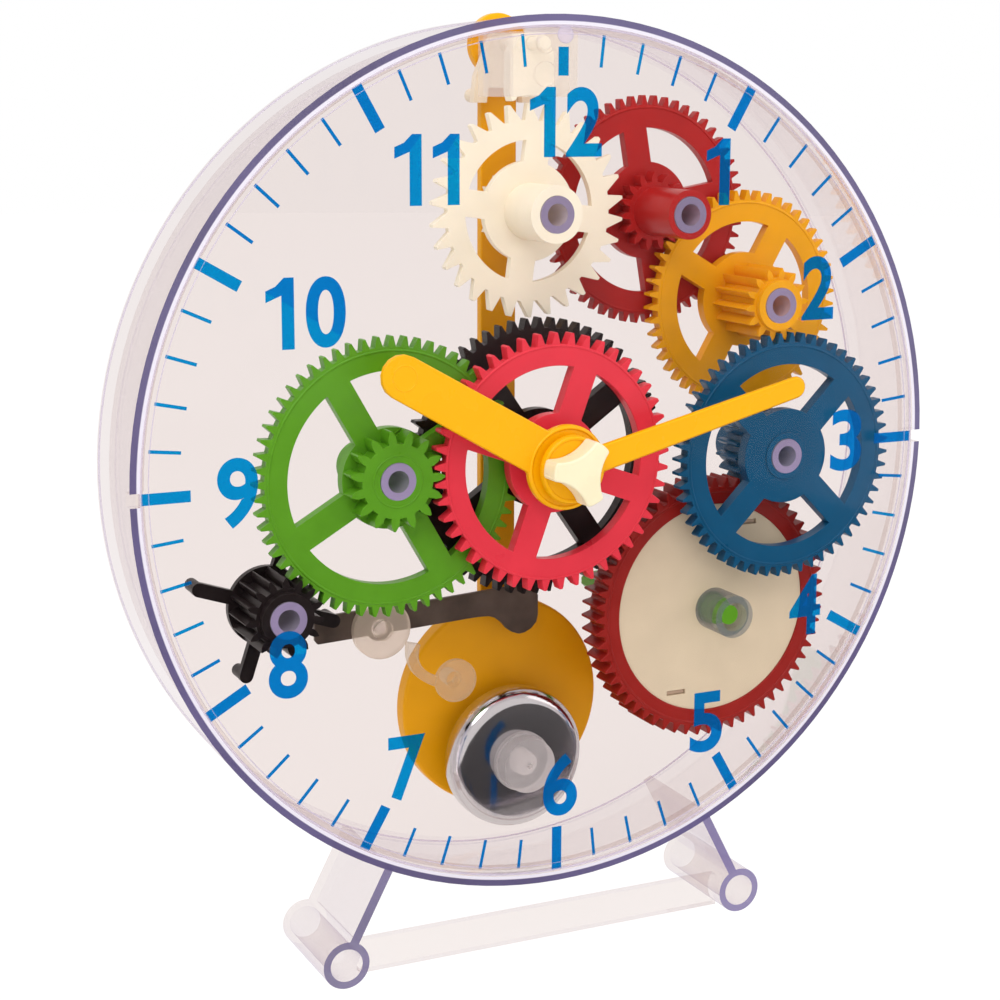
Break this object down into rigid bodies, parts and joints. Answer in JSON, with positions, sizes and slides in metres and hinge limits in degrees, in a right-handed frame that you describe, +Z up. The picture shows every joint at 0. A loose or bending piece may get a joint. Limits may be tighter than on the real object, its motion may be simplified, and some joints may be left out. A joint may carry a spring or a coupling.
{
  "type": "geared teaching clock",
  "caption": "Clear round case on a stand showing a coloured gear train, hands, escape wheel and pendulum, winding key, and a bell with its striking hammer.",
  "frame": {"origin": "middle of the footprint, on the surface that the two foot tubes stand on", "axes": "+Z up, +X to the right as the dial is read, the dial faces -Y"},
  "size_m": [0.2, 0.0614, 0.2196],
  "materials": {
    "clear_plastic": "clear moulded plastic, slightly lilac at its edges",
    "frosted_plastic": "frosted translucent plastic",
    "green_plastic": "moulded, satin gloss",
    "blue_plastic": "moulded, satin gloss",
    "yellow_plastic": "moulded, satin gloss",
    "red_plastic": "moulded, satin gloss",
    "cream_plastic": "moulded, satin",
    "white_plastic": "moulded, matte",
    "black_plastic": "moulded, satin",
    "pink_plastic": "moulded, satin gloss",
    "crimson_plastic": "moulded, satin gloss",
    "hand_plastic": "moulded, gloss",
    "pendulum_plastic": "moulded, satin gloss",
    "bell_steel": "bright pressed steel",
    "lever_steel": "plain stamped steel",
    "spring_steel": "blued strip"
  },
  "bodies": {
    "case": {"case_shell": "clear_plastic", "front_dial": "clear_plastic", "green_axle_post": "clear_plastic", "blue_axle_post": "clear_plastic", "yellow_axle_post": "clear_plastic", "red_axle_post": "clear_plastic", "escape_axle_post": "clear_plastic", "strike_axle_post": "clear_plastic", "centre_axle_post": "clear_plastic", "stand": "clear_plastic", "anchor_bridge": "clear_plastic", "bell_cup": "bell_steel", "bell_post": "frosted_plastic", "bell_cap": "frosted_plastic", "hammer_post": "clear_plastic", "hammer_return_spring": "frosted_plastic", "ratchet_click": "white_plastic"},
    "great": {"great_wheel": "crimson_plastic", "barrel_cover": "white_plastic", "mainspring": "spring_steel"},
    "minute": {"minute_wheel": "black_plastic", "minute_hand": "hand_plastic", "hand_knob": "cream_plastic"},
    "hour": {"hour_wheel": "pink_plastic", "hour_hand": "hand_plastic"},
    "green": {"green_wheel": "green_plastic"},
    "blue": {"blue_wheel": "blue_plastic"},
    "yellow": {"yellow_wheel": "yellow_plastic"},
    "red": {"red_wheel": "red_plastic"},
    "escape": {"escape_wheel": "cream_plastic"},
    "strike": {"strike_wheel": "black_plastic"},
    "winding": {"winding_arbor": "green_plastic", "ratchet_wheel": "white_plastic", "winding_key": "green_plastic"},
    "hammer": {"hammer_lever": "lever_steel", "hammer_hub": "frosted_plastic"},
    "pendulum": {"pendulum_rod": "pendulum_plastic", "pendulum_bob": "pendulum_plastic", "anchor_arbor": "cream_plastic", "pallet_anchor": "cream_plastic", "pendulum_crutch": "cream_plastic"}
  },
  "joints": [
    {"name": "great_spin", "type": "hinge", "parent": "case", "child": "great", "pos_m": [0.04778, 0, 0.07724], "axis": [0, 1, 0], "continuous": true},
    {"name": "minute_spin", "type": "hinge", "parent": "case", "child": "minute", "pos_m": [0, 0, 0.1183], "axis": [0, 1, 0], "continuous": true},
    {"name": "hour_spin", "type": "hinge", "parent": "case", "child": "hour", "pos_m": [0, 0, 0.1183], "axis": [0, 1, 0], "continuous": true},
    {"name": "green_spin", "type": "hinge", "parent": "case", "child": "green", "pos_m": [-0.0388, 0, 0.1171], "axis": [0, 1, 0], "continuous": true},
    {"name": "blue_spin", "type": "hinge", "parent": "case", "child": "blue", "pos_m": [0.0629, 0, 0.1153], "axis": [0, 1, 0], "continuous": true},
    {"name": "yellow_spin", "type": "hinge", "parent": "case", "child": "yellow", "pos_m": [0.06, 0, 0.1519], "axis": [0, 1, 0], "continuous": true},
    {"name": "red_spin", "type": "hinge", "parent": "case", "child": "red", "pos_m": [0.0344, 0, 0.1739], "axis": [0, 1, 0], "continuous": true},
    {"name": "escape_spin", "type": "hinge", "parent": "case", "child": "escape", "pos_m": [0, 0, 0.1747], "axis": [0, 1, 0], "continuous": true},
    {"name": "strike_spin", "type": "hinge", "parent": "case", "child": "strike", "pos_m": [-0.06488, 0, 0.08834], "axis": [0, 1, 0], "continuous": true},
    {"name": "winding_spin", "type": "hinge", "parent": "case", "child": "winding", "pos_m": [0.04778, 0, 0.07724], "axis": [0, 1, 0], "continuous": true},
    {"name": "hammer_swing", "type": "hinge", "parent": "case", "child": "hammer", "pos_m": [-0.0353, 0, 0.0783], "axis": [0, 1, 0], "range_deg": [-3, 21]},
    {"name": "pendulum_swing", "type": "hinge", "parent": "case", "child": "pendulum", "pos_m": [0, 0, 0.2123], "axis": [0, 1, 0], "range_deg": [-4, 4]}
  ],
  "couplings": [
    {"joint": "minute_spin", "follows": "great_spin", "ratio": -1},
    {"joint": "green_spin", "follows": "great_spin", "ratio": 0.25},
    {"joint": "hour_spin", "follows": "great_spin", "ratio": -0.083333},
    {"joint": "strike_spin", "follows": "great_spin", "ratio": -1},
    {"joint": "blue_spin", "follows": "great_spin", "ratio": -3.3333},
    {"joint": "yellow_spin", "follows": "great_spin", "ratio": 13.333},
    {"joint": "red_spin", "follows": "great_spin", "ratio": -44.444},
    {"joint": "escape_spin", "follows": "great_spin", "ratio": 150}
  ]
}
